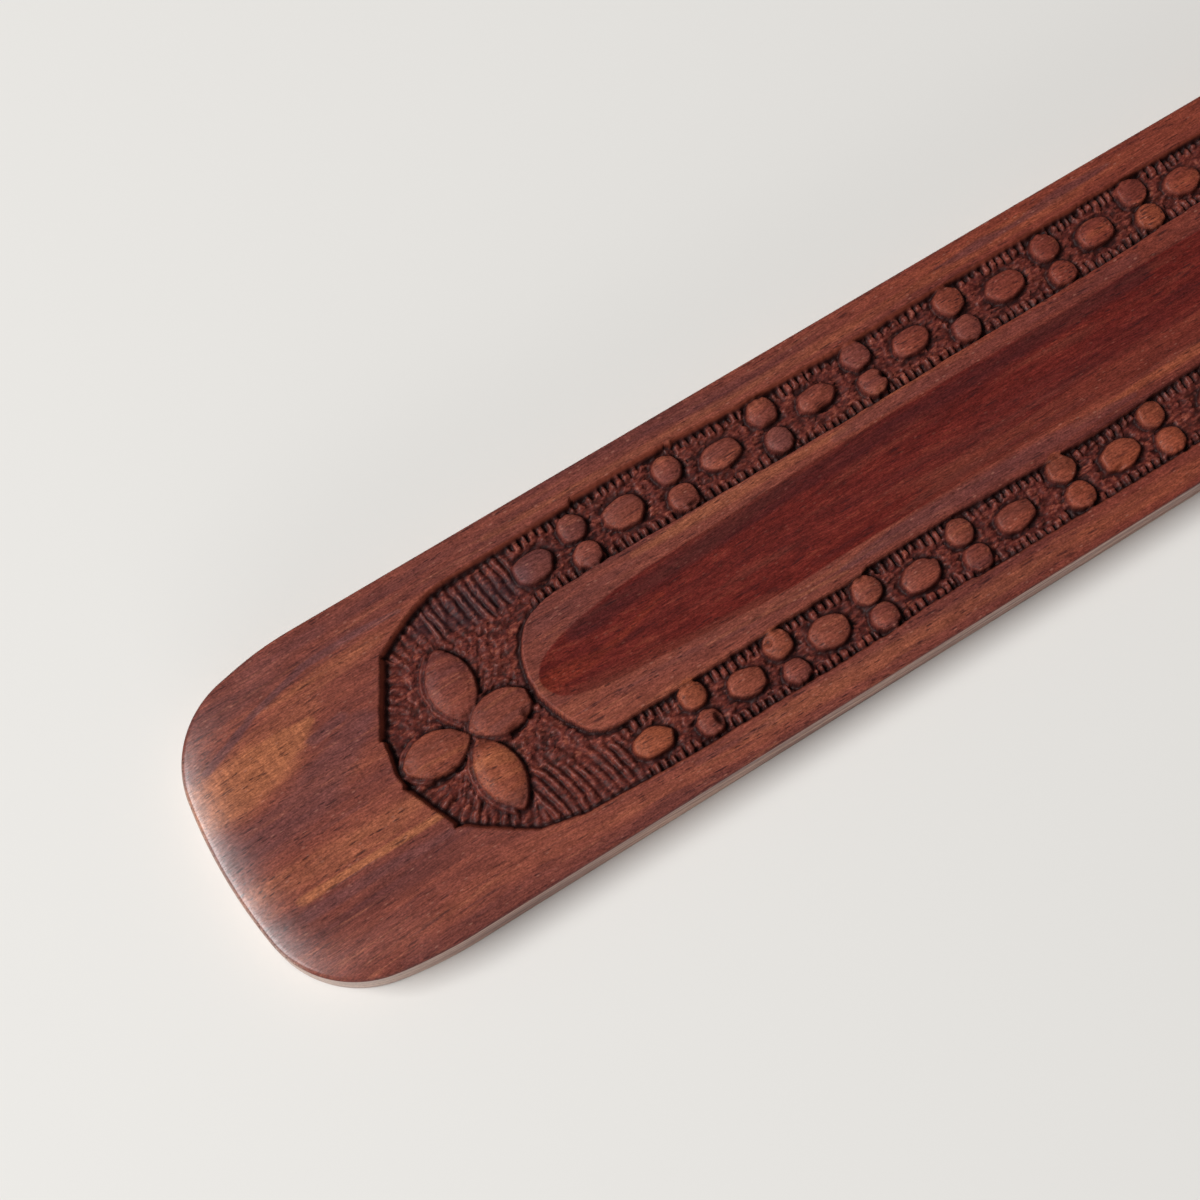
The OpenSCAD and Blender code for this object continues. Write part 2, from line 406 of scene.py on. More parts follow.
def add_raised(where, distance, crown, tint, pared, moat_d):
    """Raises a form out of the ground. Distance is negative inside its outline, crown is its height, 0 to 1,
    and pared is how much the knife took off its top."""
    raised = smoothstep(0.2, -0.14, distance) * crown
    better = raised > lift[where]
    lift[where] = np.where(better, raised, lift[where])
    tone[where] = np.where(better & (distance < 0.12), tint, tone[where])
    moat = np.exp(-(((distance - 0.32) / 0.36) ** 2)) * moat_d * (0.55 + 0.45 * swell[where])
    groove[where] = np.maximum(groove[where], moat)
    crown_cut[where] = np.where(distance < 0.1, pared, crown_cut[where])


def bead(m_mid, v_mid, length, width, tilt, square, tint, at_head, rng):
    """A knife-cut bead: an oval pared by a few straight cuts."""
    where, dm, dv = window(m_mid, v_mid, max(length, width) / 2 + 1.6, at_head)
    c, s = np.cos(np.radians(tilt)), np.sin(np.radians(tilt))
    a = dm * c + dv * s
    b = -dm * s + dv * c
    angle = np.arctan2(b / width, a / length)
    wave = 0.018 * np.cos(3 * angle + rng.uniform(0, 6.3))
    wave = wave + 0.014 * np.cos(5 * angle + rng.uniform(0, 6.3))
    power = 2 + square
    norm = (np.abs(2 * a / length) ** power + np.abs(2 * b / width) ** power) ** (1 / power) - wave
    outline = (norm - 1) * min(length, width) / 2 - 0.12
    cuts = rng.integers(4, 7)
    turn = rng.uniform(0, 6.3)
    for k in range(cuts):
        way = turn + 6.283 * k / cuts + rng.uniform(-0.3, 0.3)
        reach = np.hypot(length / 2 * np.cos(way), width / 2 * np.sin(way)) * rng.uniform(0.94, 1.06) + 0.08
        outline = smooth_max(outline, a * np.cos(way) + b * np.sin(way) - reach, 0.25)
    slope = rng.normal(0, 0.04, 2)
    crown = 1 - rng.uniform(0.24, 0.36) * np.clip(norm, 0, 1.15) ** 2.8
    add_raised(where, outline, crown, tint, 0.05 + slope[0] * a + slope[1] * b, 0.2)


# The tail's beads as measured on the photograph: m, v, length, width, tilt, how square, and tone
# from -1, purple, to 1, orange. The rest are laid out evenly, with a little wander.
UPPER_OVALS = [
    (46.7, 12, 4.9, 3.3, 4, 0.2, -0.5), (58.9, 12.1, 4.9, 3.5, -6, 0.3, 0.25),
    (72, 12.1, 4.9, 3.2, 0, 0.1, 0.2), (85.1, 12.1, 4.6, 2.7, 3, 1.2, -0.1),
    (98.4, 12.2, 4.7, 3, 5, 0.3, 0), (111.9, 12.1, 5, 3.2, 0, 0.2, -0.05),
]
LOWER_OVALS = [
    (47.3, -12.3, 4.7, 3.1, -4, 0.1, 0.75), (59.6, -12.1, 4.4, 3.1, -8, 0.6, 0.35),
    (70.7, -12.1, 4.7, 3.6, -4, 0.3, 0.3), (83.1, -12.1, 4.8, 3.2, 8, 0.5, 0.25),
    (96.3, -12, 4.7, 3.1, 4, 0.3, 0.3), (110.7, -12.3, 4.9, 3.3, 0, 0.3, 0.5),
]
# Pairs: m, then v and diameter of the outer and the inner bead, and their tones.
UPPER_PAIRS = [
    (52.7, 13.6, 3.2, 9.9, 3.2, -0.35, -0.1), (65.6, 13.8, 3.4, 9.9, 3.4, -0.1, 0.1),
    (78.7, 13.95, 3.5, 10, 3.2, -0.1, -0.55), (91.8, 14.1, 3.4, 10.2, 3.2, -0.35, -0.3),
    (105, 14, 3.6, 10, 3.3, 0.3, -0.4), (118.6, 13.7, 3.4, 9.8, 3.2, 0.1, 0),
]
LOWER_PAIRS = [
    (53.7, -13.8, 3, -10.1, 3.2, 0.1, 0.6), (65, -14, 3, -10.2, 3.3, 0, 0.45),
    (76.9, -14, 3.3, -10.3, 3.4, -0.05, 0.35), (89.7, -13.85, 3.2, -10.2, 3.2, 0.1, 0.35),
    (103.9, -13.9, 3.4, -10.1, 3.4, 0.4, 0.45), (116.6, -14, 3.3, -10.2, 3.2, 0.5, 0.5),
]
# Tones of the beads that the photograph doesn't show.
TONES = (-0.3, 0.5)
oval_step = (BOARD_L - 2 * OVAL_FIRST) / (OVAL_COUNT - 1)


def add_beads():
    rng = np.random.default_rng(5)
    for m, v, length, width, tilt, square, tint in UPPER_OVALS + LOWER_OVALS:
        bead(m, v, length, width, tilt, square, tint, False, rng)
    for m, v_out, d_out, v_in, d_in, tint_out, tint_in in UPPER_PAIRS + LOWER_PAIRS:
        bead(m + 0.1, v_out, d_out, d_out, 0, 0, tint_out, False, rng)
        bead(m, v_in, d_in, d_in, 0, 0, tint_in, False, rng)
    # The middle pair of ovals and the head's half, which the photograph doesn't show.
    for side in (-1, 1):
        for k in range(OVAL_COUNT // 2 + 1):
            m = OVAL_FIRST + k * oval_step + rng.normal(0, 0.35)
            size = np.array(OVAL_SIZE) * rng.uniform(0.94, 1.06, 2)
            v = side * (BAND_MID + rng.normal(0, 0.08))
            bead(m, v, *size, rng.normal(0, 4), rng.uniform(0, 0.6), rng.uniform(*TONES), True, rng)
        for k in range(OVAL_COUNT // 2):
            m = OVAL_FIRST + (k + 0.5) * oval_step + rng.normal(0, 0.3)
            for way in (-1, 1):
                d = BEAD_D * rng.uniform(0.92, 1.02)
                v = side * (BAND_MID + way * (PAIR_Y + rng.normal(0, 0.05)))
                bead(m, v, d, d, 0, 0, rng.uniform(*TONES), True, rng)


def petal(m0, v0, m1, v1, width, blunt, shoulder, tint, at_head):
    """A leaf-shaped petal from (m0, v0) at the flower's centre to its outer tip."""
    length = np.hypot(m1 - m0, v1 - v0)
    m_mid = (m0 + m1) / 2
    v_mid = (v0 + v1) / 2
    where, dm, dv = window(m_mid, v_mid, length / 2 + 1.8, at_head)
    c, s = (m1 - m0) / length, (v1 - v0) / length
    a = dm * c + dv * s
    b = -dm * s + dv * c
    r = (length**2 + width**2) / (4 * width)
    offset = r - width / 2
    upper = np.hypot(a, b + offset) - r
    lower = np.hypot(a, b - offset) - r
    outline = np.maximum(upper, lower)
    depth = -smooth_max(upper, lower, 2.6) / (width / 2 - 0.65)
    crown = 1 - shoulder * (1 - np.clip(depth, 0, 1)) ** 2
    outline = np.maximum(outline, a - length / 2 + blunt)
    outline = outline + 0.05 * rough_noise(a / 1.1 + 3 * m0, b / 1.1 + 9, 31, 2)
    add_raised(where, outline, crown, tint, 0.04, 0.25)
    # A narrow ledge is left on the side away from the band, where the outline was cut twice.
    ledge = 0.42 * smoothstep(0.72, 0.5, outline) * smoothstep(0.2, -1.2, dm)
    lift[where] = np.maximum(lift[where], ledge)


# Petals: inner end, outer tip, width, how blunt the tip is, roundness and tone.
PETALS = [
    (31.1, 0.5, 32.3, 9.6, 5.6, 0.15, 0.42, 0), (30.6, -0.9, 22.1, -0.6, 5.1, 0.25, 0.30, 0.35),
    (30.7, -0.5, 39, -0.4, 5, 0.55, 0.32, 0.25), (31, -1.6, 31.4, -11.1, 5.2, 0.1, 0.45, 0.5),
]

add_beads()
for at_head in (False, True):
    for form in PETALS:
        petal(*form, at_head)

# ---- the ground between them


def stroke_waves(along, across, pitch, seed, uneven):
    """Rounded ridges a pitch apart, each a little out of place. Gives their height and a number for each."""
    wander = 0.28 * lattice_noise(along / (2.3 * pitch), across / 3.0, seed)
    wander = wander + 0.07 * lattice_noise(along / (0.6 * pitch), across / 0.8, seed + 2)
    phase = along / pitch + wander
    ridge = 0.5 + 0.5 * np.cos(2 * np.pi * phase)
    number = lattice_noise(np.floor(phase + 0.5) * 0.77, across / 2.0, seed + 1)
    return np.power(ridge, 0.65) * (1 - uneven + uneven * number), number


# The bay is the round end of the recess, with the flower in its middle. The bands run on from it.
FLOWER = (31.0, -0.6)
BAY_END = (44.0, 46.0)
STROKE_PITCH = 1.17
SHORT_STROKE = 3.5
LONG_STROKE = 7.2
TOOTH_PITCH = 1.08
TOOTH_L = 1.65
bay = 1 - smoothstep(*BAY_END, cm)
# Low ground: chipped out flake by flake, and torn along the fibres.
stab = rough_noise(cu / 0.62, cy / 0.5, 41)
from_flower = np.hypot(cm - FLOWER[0], cv - FLOWER[1])
round_flower = np.arctan2(cv - FLOWER[1], cm - FLOWER[0]) * 9.0
torn_band = 0.9 - 2.2 * np.abs(rough_noise(cu / 1.3, cy / 0.30, 44, 2))
torn_bay = 0.9 - 2.2 * np.abs(rough_noise(from_flower / 1.9, round_flower / 0.6 + 60 * head, 45, 2))
torn = mix(torn_band, torn_bay, bay)
chips, chip_number = chipped(cu / 0.95, cy / 0.55, 48)
chunks, chunk_number = chipped(cu / 1.7, cy / 1.1, 49)
relief = 0.03 * stab + 0.09 * torn + 0.05 * swell + 0.11 * chips + 0.07 * chunks

# Gouge strokes in the bay: short ones square to the wall round the end, long leaning ones before the bands.
before_bands = smoothstep(31.5, 35.0, cm)
lean = 1.5 * ((16.0 - np.abs(cv)) / 7.5) ** 2 * np.sign(-cv)
stroke_pos = mix(wall_along, np.where(cv > 0, -1, 1) * (cm + lean), before_bands > 0.5)
stroke_len = mix(SHORT_STROKE, LONG_STROKE, before_bands)
stroke_len = stroke_len + 0.7 * lattice_noise(stroke_pos / 1.05, head * 5.0, 51)
stroke_fade = smoothstep(stroke_len, stroke_len - 1.3, outer) * bay
strokes, _ = stroke_waves(stroke_pos, outer, STROKE_PITCH, 53, 0.45)
stroke_h = 0.50 + 0.24 * lattice_noise(cu / 2.7, cy / 2.1, 55)
relief = relief * (1 - 0.5 * stroke_fade) + (stroke_h * strokes - 0.24) * stroke_fade

# Teeth along both walls of each band, strongest halfway between the pairs of beads.
band = 1 - bay
from_wall = np.minimum(outer, inner)
side_seed = np.where(outer < inner, 0.0, 7.0) + np.where(cv > 0, 0.0, 20.0) + head * 40.0
teeth, tooth_number = stroke_waves(cm + 0.4 * side_seed, side_seed, TOOTH_PITCH, 57, 0.35)
teeth = smoothstep(0.16, 0.56, teeth)
place = (cm - OVAL_FIRST) / oval_step
tooth_strength = 0.85 + 0.4 * lattice_noise(place + 0.5, side_seed, 61)
tooth_strength = tooth_strength + 0.15 * np.cos(2 * np.pi * place)
tooth_len = TOOTH_L + 0.35 * lattice_noise(cm / TOOTH_PITCH, side_seed, 63)
tooth_fade = smoothstep(tooth_len, tooth_len - 0.5, from_wall) * band * np.clip(tooth_strength, 0.1, 1)
tooth_fade = tooth_fade * (1 - smoothstep(0.04, 0.16, groove))
relief = relief * (1 - 0.2 * tooth_fade * teeth) + (0.66 * teeth - 0.24) * tooth_fade

# A stop cut runs along the foot of both walls.
foot = np.exp(-(((inner - 0.42) / 0.24) ** 2))
foot = np.maximum(foot, np.exp(-(((outer - wall_width - 0.15) / 0.24) ** 2)))
foot = foot * (0.65 + 0.35 * lattice_noise(cu / 1.9, cy / 1.9, 58))
ground_h = top - CARVE_D + relief
ground_h = np.minimum(ground_h - groove - 0.22 * foot, top - 0.25)
crown_h = top - crown_cut - 0.012 * stab
carved_h = mix(ground_h, crown_h, lift)

# Small breaks and slips of the knife: u, y, half length, half width, depth.
DENTS = [
    (25.4, -3.5, 1.3, 0.45, 0.8), (27.6, -3.3, 0.6, 0.3, 0.5), (35.6, -2.9, 0.9, 0.4, 0.7),
    (37.4, -2, 0.7, 0.5, 0.6), (54.9, -13.9, 0.55, 0.8, 0.9), (52.6, -12.75, 0.8, 0.16, 0.5),
    (53.7, -12.45, 0.8, 0.16, 0.5), (64, -9.6, 0.5, 0.5, 0.5), (66.1, 8.75, 0.7, 0.28, 0.6),
    (79, 12.3, 0.9, 0.3, 0.6), (85.6, 10.7, 1.2, 0.35, 0.6), (93.4, 10.4, 0.5, 0.45, 0.8),
    (85.2, -10.9, 0.5, 0.3, 0.4), (109.6, -13.6, 0.8, 0.3, 0.5),
]
for u_mid, y_mid, half_u, half_y, depth in DENTS:
    away = ((cu - u_mid) / half_u) ** 2 + ((cy - y_mid) / half_y) ** 2
    carved_h = carved_h - depth * np.exp(-(away**1.5))

# The walls are clean planes that the rough ground runs up against.
wall_out = top - outer * CARVE_D / wall_width
wall_in = top - inner * CARVE_D / RIDGE_CUT
carved_h = np.maximum(np.maximum(carved_h, wall_out), wall_in)
carved_h = np.minimum(carved_h, top)

# ---- the ash trough

# Half width of the trough above and below the middle line, from its tip on.
TROUGH_M = [40.2, 40.6, 41.4, 42.8, 45.1, 48, 53.5, 59, 65, 71, 82, 95, 107, 126]
TROUGH_UP = [0, 0.9, 1.8, 2.6, 3.4, 4, 4.7, 5, 5.15, 5.3, 5.7, 5.8, 5.6, 5.6]
TROUGH_LOW = [0.6, 1.7, 2.7, 3.4, 4, 4.4, 4.7, 5.1, 5.5, 5.7, 5.5, 5.55, 5.6, 5.6]

half_up = np.interp(cm, TROUGH_M, TROUGH_UP)
half_low = np.interp(cm, TROUGH_M, TROUGH_LOW)
half_w = np.maximum((half_up + half_low) / 2, 0.01)
off_middle = cv - (half_up - half_low) / 2
chord = np.sqrt(TROUGH_R**2 - half_w**2)
scoop = np.sqrt(np.maximum(TROUGH_R**2 - off_middle**2, 0)) - chord
scoop = np.where((cm > TROUGH_M[0]) & (np.abs(off_middle) < 8.0), scoop, -1.0)
scoop = scoop + 0.012 * rough_noise(cu / 5.0, cy / 1.2, 71)
softness = 0.05
dip = 0.5 * (scoop + np.sqrt(scoop**2 + softness**2)) - softness**2 * 0.5
trough_edge = [(m, up, 0.0) for m, up in zip(TROUGH_M[::-1], TROUGH_UP[::-1])]
trough_edge += [(m, -low, 0.0) for m, low in zip(TROUGH_M, TROUGH_LOW)]
trough = smoothstep(-0.07, 0.07, wall_field(trough_edge, cm, cv)[0])
carved_h = carved_h - np.where(inner < 0.3, np.maximum(dip, 0), 0)
# Towards the middle of the board the trough's lower side is paler, sapwood, in ragged streaks.
paler = smoothstep(68, 116, cu) * smoothstep(182, 142, cu) * smoothstep(2.2, -4.8, cy)
paler = paler + 0.25 * rough_noise(cu / 13, cy / 0.6, 73) * smoothstep(80, 100, cu)
paler = 0.7 * smoothstep(0.25, 0.95, paler)

H = TOP.copy()
H[carved_u] = carved_h

# ---- figure of the wood

# Streaks of colour that the photograph shows, besides the shader's own: AMBER is the pale sapwood orange and
# PLUM the dark heartwood purple. Each has its strength, and a line of u, y and half width that it follows.
AMBER, PLUM = "amber", "plum"
STREAKS = {
    AMBER: [
        (0.95, (1.5, 7.2, 3.3), (5, 7.4, 3.5), (9, 8.1, 3.2), (12.5, 8.9, 2.1), (16, 9.7, 0.7)),
        (0.5, (4, 10.8, 0.9), (12, 11.3, 1.3), (17, 11.2, 1.2)),
        (0.45, (14, 12, 1.4), (20, 13.6, 1.6), (27, 14, 1)),
        (0.5, (1.5, -4.2, 1.7), (9.7, -4.6, 1.9), (17, -4.8, 1.9), (22, -4.2, 1.5)),
        (0.9, (6, -7.2, 0.6), (15, -7.1, 0.55), (23.5, -7, 0.55)),
        (0.7, (29.2, -4.4, 0.7), (33.2, -5.2, 1)),
        (0.5, (29.6, -6.8, 0.4), (33.2, -7.1, 0.5)),
        (0.5, (24, -1.4, 0.3), (29.5, -1.9, 0.35)),
        (0.5, (33.5, 0.6, 0.3), (38, 1, 0.35)),
        (0.6, (108, -6.9, 0.2), (118, -6.7, 0.6), (132, -6.5, 0.9)),
        (0.5, (44, 17.6, 0.6), (60, 17.3, 0.5), (84, 17.2, 0.6), (126, 17.4, 0.8)),
        (0.6, (57, 7, 0.5), (66, 7, 0.9), (74, 7.1, 0.8), (86, 6.9, 0.3)),
        (0.5, (58, -6.2, 0.25), (66, -6.7, 0.3), (76, -7.5, 0.3)),
        (0.45, (66, -6.3, 0.2), (78, -6.6, 0.3), (90, -7.2, 0.3)),
        (0.5, (56, -17.4, 0.6), (66, -17.6, 1.4), (80, -18, 1.2), (118, -18.2, 1.3)),
        (0.5, (41.5, -0.6, 1.6), (47.6, -0.6, 0.8), (52, 0.2, 0.45), (57, 1.7, 0.5)),
    ],
    PLUM: [
        (0.9, (4, 10.6, 0.5), (8.3, 12.2, 0.5), (11.5, 13.6, 0.4), (15, 14.5, 0.4), (19, 15.5, 0.5),
         (25.8, 15.7, 0.5), (31, 15.4, 0.3)),
        (0.55, (3, 17, 1.6), (12, 17.6, 1.6), (22, 18.2, 1)),
        (0.7, (0.5, 0.8, 2.4), (6, 0.9, 2.6), (12, 2, 2.8), (17, 4.6, 2.2), (21, 6.8, 1.4)),
        (0.8, (16, 7.6, 0.8), (19.5, 8.2, 0.7)),
        (0.5, (1, -2.2, 0.4), (9, -1.6, 0.4), (17, -1.5, 0.3)),
        (0.8, (9, -7.7, 0.12), (15.2, -7.5, 0.12)),
        (0.7, (6, -8.9, 0.9), (14, -9, 0.8), (23, -9.2, 0.6)),
        (0.9, (34, 12.8, 2), (39, 12, 2.6), (44, 11.6, 1.6)),
        (0.9, (106, 17.9, 0.2), (112, 18, 0.7), (117, 17.8, 0.35), (124, 18.3, 0.8), (131, 18.4, 0.4)),
        (0.6, (29.8, -9.9, 0.8), (33, -9.4, 0.9)),
        (0.6, (33.4, -1.9, 0.6), (37.8, -1.5, 0.45)),
        (0.45, (29, 7, 0.9), (33.4, 6.4, 0.8)),
        (0.35, (24, 18.3, 1), (60, 18.6, 0.8), (90, 18.4, 0.6)),
        (0.6, (84, 6.6, 0.5), (94, 6.8, 0.9), (126, 6.8, 0.9)),
        (0.7, (76, -6.9, 0.4), (84, -6.7, 1.1), (104, -6.9, 1.1), (116, -7.3, 0.4)),
        (0.4, (44, 5.6, 1), (52, 6.2, 0.9), (58, 6.6, 0.5)),
        (0.5, (47, -5.6, 0.5), (56, -5.9, 0.4), (64, -7.2, 0.3)),
        (0.55, (50, -17, 0.35), (59, -17.4, 0.4), (62, -17.3, 0.3)),
        (0.75, (47, 2.8, 1.2), (57, 3.6, 1.2), (75, 4.3, 1.2), (126, 4.7, 1.1)),
        (0.4, (50, -0.9, 0.3), (60, 0.6, 0.5), (70, 1.2, 0.4)),
        (0.45, (82, -0.5, 0.8), (95, -1.2, 1.6), (112, -0.6, 1.8), (130, 0.5, 1.4)),
        (0.5, (74, -4.6, 0.5), (96, -4.5, 0.6), (112, -4.7, 0.5)),
    ],
}


# Distances along the grain count less, so that a streak runs out along it.
SQUEEZE = 0.6


def streak_field(kind):
    total = np.zeros(U.shape)
    for strength, *points in STREAKS[kind]:
        shape = np.zeros(U.shape)
        for (u0, y0, w0), (u1, y1, w1) in zip(points, points[1:]):
            margin = 1.5 * max(w0, w1) / SQUEEZE
            near = (U > min(u0, u1) - margin) & (U < max(u0, u1) + margin)
            near &= np.abs(Y - (y0 + y1) / 2) < 8
            d, t = segment_distance(u0 * SQUEEZE, y0, u1 * SQUEEZE, y1, U[near] * SQUEEZE, Y[near])
            part = smoothstep(1.5, 0.45, d / mix(w0, w1, t))
            shape[near] = np.maximum(shape[near], part)
        total = np.maximum(total, strength * shape)
    return total


# ---- what the finish needs to know


def whole(field):
    """A field of the carved part, spread to the whole grid with zeros."""
    full = np.zeros(U.shape)
    full[carved_u] = field
    return full


near_end = smoothstep(5.0, 1.5, END_EDGE)
own_tone = mix(0.65 * chip_number + 0.35 * chunk_number, 1.3 * tooth_number, 0.8 * tooth_fade * teeth)
hollow = blurred(carved_h, 5) - carved_h
fine_hollow = blurred(carved_h, 2) - carved_h
fields = {
    "ground": whole(smoothstep(0.35, 0.95, recess) * (1 - smoothstep(0.35, 0.8, lift))),
    # Painted shade: darker in the carving's hollows and along the stop cuts at the foot of its walls, where
    # dirt sits too, and a dark line along the arris, strongest near the ends.
    "cavity": np.maximum(
        whole(np.clip(np.clip(hollow / 0.34, 0, 1) + 0.35 * foot, 0, 1) * recess * (1 - trough)),
        mix(0.04, 0.24, near_end) * smoothstep(0.36, 0.14, EDGE),
    ),
    # Ridges of the ground: a painted highlight in the colour, and wax in the coat.
    "peak": whole(smoothstep(0.02, 0.12, -fine_hollow) * recess * (1 - lift)),
    "chip": whole(own_tone * recess * (1 - lift)),
    "cut": whole(smoothstep(0.02, 0.3, outer_cut) * (1 - smoothstep(0.75, 1.0, outer_cut))),
    "trough": whole(trough * (1 - paler) * (inner < 0.3)),
    "tone": whole(tone),
    "side": np.zeros(U.shape),
    # A pale line along the arris at the tail's end: painted highlight, with wear.
    "rubbed": 0.7 * smoothstep(0.34, 0.1, EDGE) * smoothstep(3.2, 1.2, U),
    "polish": smoothstep(7.5, 0.8, END_EDGE) * smoothstep(19, 13, np.abs(Y)) * smoothstep(0.1, 0.45, EDGE),
    AMBER: streak_field(AMBER),
    PLUM: streak_field(PLUM),
}

# ---- mesh of the board


class MeshParts:
    """Vertices, faces and per-vertex fields, gathered before the mesh is made."""

    def __init__(self):
        self.places = []
        self.faces = []
        self.regions = []
        self.region = "top"
        self.count = 0
        self.fields = {name: [] for name in fields}

    def add_points(self, u, y, z, **values):
        """New points, and their indices. A field that isn't given is zero there."""
        self.places.append(np.stack((u.ravel() - HALF_L, y.ravel(), z.ravel()), axis=1))
        for name, gathered in self.fields.items():
            gathered.append(np.broadcast_to(values.get(name, 0.0), u.shape).ravel())
        self.count += u.size
        return np.arange(self.count - u.size, self.count).reshape(u.shape)

    def add_quads(self, a, b, c, d):
        self.faces.extend(np.stack([x.ravel() for x in (a, b, c, d)], axis=1).tolist())
        self.regions.extend([self.region] * a.size)

    def add_face(self, corners):
        self.faces.append(corners.tolist())
        self.regions.append(self.region)

    def add_ring(self, upper, *place, **values):
        """A closed ring of points, joined to the ring above it."""
        lower = self.add_points(*place, **values)
        self.add_quads(upper, lower, np.roll(lower, -1), np.roll(upper, -1))
        return lower


parts = MeshParts()
Z = swept(U, H)
grid = parts.add_points(U, Y, Z, **fields)

# The patch of the grid that makes room for the stick hole: half its sizes, and its first and last lines.
HOLE_U = BOARD_L - HOLE_IN
PATCH_U = 2.6
PATCH_Y = 1.75
hole_u0, hole_u1 = np.searchsorted(lines_u, (HOLE_U - PATCH_U, HOLE_U + PATCH_U))
hole_y0, hole_y1 = np.searchsorted(lines_b * HALF_W, (-PATCH_Y, PATCH_Y))
keep = np.ones((grid.shape[0] - 1, grid.shape[1] - 1), bool)
keep[hole_u0:hole_u1, hole_y0:hole_y1] = False
parts.add_quads(grid[:-1, :-1][keep], grid[1:, :-1][keep], grid[1:, 1:][keep], grid[:-1, 1:][keep])


def perimeter(block):
    """Indices round a block of grid points, once round, anticlockwise seen from above."""
    return np.concatenate((block[:-1, 0], block[-1, :-1], block[:0:-1, -1], block[0, :0:-1]))


def add_sides():
    """The board's edge, from the top's outline down to the underside's arris."""
    parts.region = "side"
    ring = perimeter(grid)
    u = U.ravel()[ring]
    y = Y.ravel()[ring]
    top_h = H.ravel()[ring]
    # Paler towards the tail: painted highlight, with wear.
    rubbed = 0.6 * smoothstep(21, 3, u)
    for share in (0.03, 0.12, 0.25, 0.375, 0.5, 0.625, 0.75, 0.875, 1.0):
        h = mix(top_h, UNDER_ARRIS_R, share)
        # Sawn and rubbed with paper: the edge is never quite flat.
        dent = 0.05 * np.sin(np.pi * share) * (1 + lattice_noise(u / 9, y / 9 + share, 81))
        across = y * (1 - dent / HALF_W)
        ring = parts.add_ring(ring, u, across, swept(u, h), side=1.0, rubbed=rubbed, polish=0.65)
    return ring, u, y


side_ring, ring_u, ring_y = add_sides()


def inset_ring(u, y, by):
    """The outline's points moved inwards by a distance."""
    du = np.roll(u, -1) - np.roll(u, 1)
    dy = np.roll(y, -1) - np.roll(y, 1)
    length = np.hypot(du, dy)
    return u - dy / length * by, y + du / length * by


def add_underside():
    """The arris below the sides, and the flat underside."""
    ring = side_ring
    for angle in (30, 60, 90):
        by = UNDER_ARRIS_R * (1 - np.cos(np.radians(angle)))
        h = UNDER_ARRIS_R * (1 - np.sin(np.radians(angle)))
        u, y = inset_ring(ring_u, ring_y, by)
        ring = parts.add_ring(ring, u, y, swept(u, h), side=1 - angle / 90)
    parts.region = "under"
    # Strips across the board between matching points of the two sides, and a fan of its own at each end.
    nu = lines_u.size
    nb = lines_b.size
    near = ring[:nu]
    end = ring[nu - 1 : nu + nb - 1]
    far = ring[nu + nb - 2 : 2 * nu + nb - 2][::-1]
    start = np.concatenate((ring[2 * nu + nb - 3 :], ring[:1]))
    where = np.concatenate(parts.places)
    low = near[FAN_LINES : nu - FAN_LINES, None]
    high = far[FAN_LINES : nu - FAN_LINES, None]
    share = np.linspace(0, 1, UNDER_STRIPS + 1)[1:-1]
    u = mix(where[low, 0], where[high, 0], share) + HALF_L
    y = mix(where[low, 1], where[high, 1], share)
    middle = parts.add_points(u, y, swept(u, 0.0))
    sheet = np.concatenate((low, middle, high), axis=1)
    parts.add_quads(sheet[:-1, :-1], sheet[:-1, 1:], sheet[1:, 1:], sheet[1:, :-1])
    tail_fan = np.concatenate((near[:FAN_LINES], sheet[0], far[:FAN_LINES][::-1], start[1:-1]))
    head_fan = np.concatenate((sheet[-1][::-1], near[-FAN_LINES:], end[1:-1], far[-FAN_LINES:][::-1]))
    parts.add_face(tail_fan[::-1])
    parts.add_face(head_fan[::-1])


add_underside()


def add_stick_hole():
    """A drilled hole that leans back over the trough, with a closed flat bottom."""
    # Taken clockwise, so that the strips face out of the wood.
    ring = perimeter(grid[hole_u0 : hole_u1 + 1, hole_y0 : hole_y1 + 1])[::-1]
    where = np.concatenate(parts.places)[ring]
    mouth = np.array((HOLE_U - HALF_L, 0.0, float(swept(HOLE_U, BOARD_T))))
    lean = np.radians(HOLE_LEAN)
    axis = np.array((-np.cos(lean), 0.0, np.sin(lean)))
    across = np.array((0.0, 1.0, 0.0))
    third = np.cross(axis, across)
    from_mouth = where - mouth
    angle = np.arctan2(from_mouth @ across / 1.6, from_mouth @ third)
    round_it = np.cos(angle)[:, None] * third + np.sin(angle)[:, None] * across

    def on_top(radius):
        """Where a tube of that radius round the axis meets the top."""
        point = mouth + radius * round_it
        for _ in range(12):
            u = point[:, 0] + HALF_L
            surface = swept(u, sanded(u, point[:, 1]))
            point = point + ((surface - point[:, 2]) / (axis[2] + 0.26))[:, None] * axis
        return point

    r = HOLE_D / 2
    edge = on_top(r)
    foot_middle = mouth - axis * HOLE_DEPTH
    bottom = foot_middle + r * round_it
    levels = [on_top(r + 0.22), on_top(r + 0.07), edge - axis * 0.05]
    levels += [mix(edge, bottom, share) for share in (0.15, 0.5, 1.0)]
    levels.append(mix(bottom, foot_middle, 0.5))
    parts.region = "top"
    # Painted shade: each ring down the stick hole is darker than the one above it.
    for k, (x, y, z) in enumerate(level.T for level in levels):
        ring = parts.add_ring(ring, x + HALF_L, y, z, cavity=min(1.0, 0.25 * k))
        parts.region = "hole"
    parts.add_face(ring[::-1])


add_stick_hole()


# No point of the board is higher than this.
TALLEST = 13.0


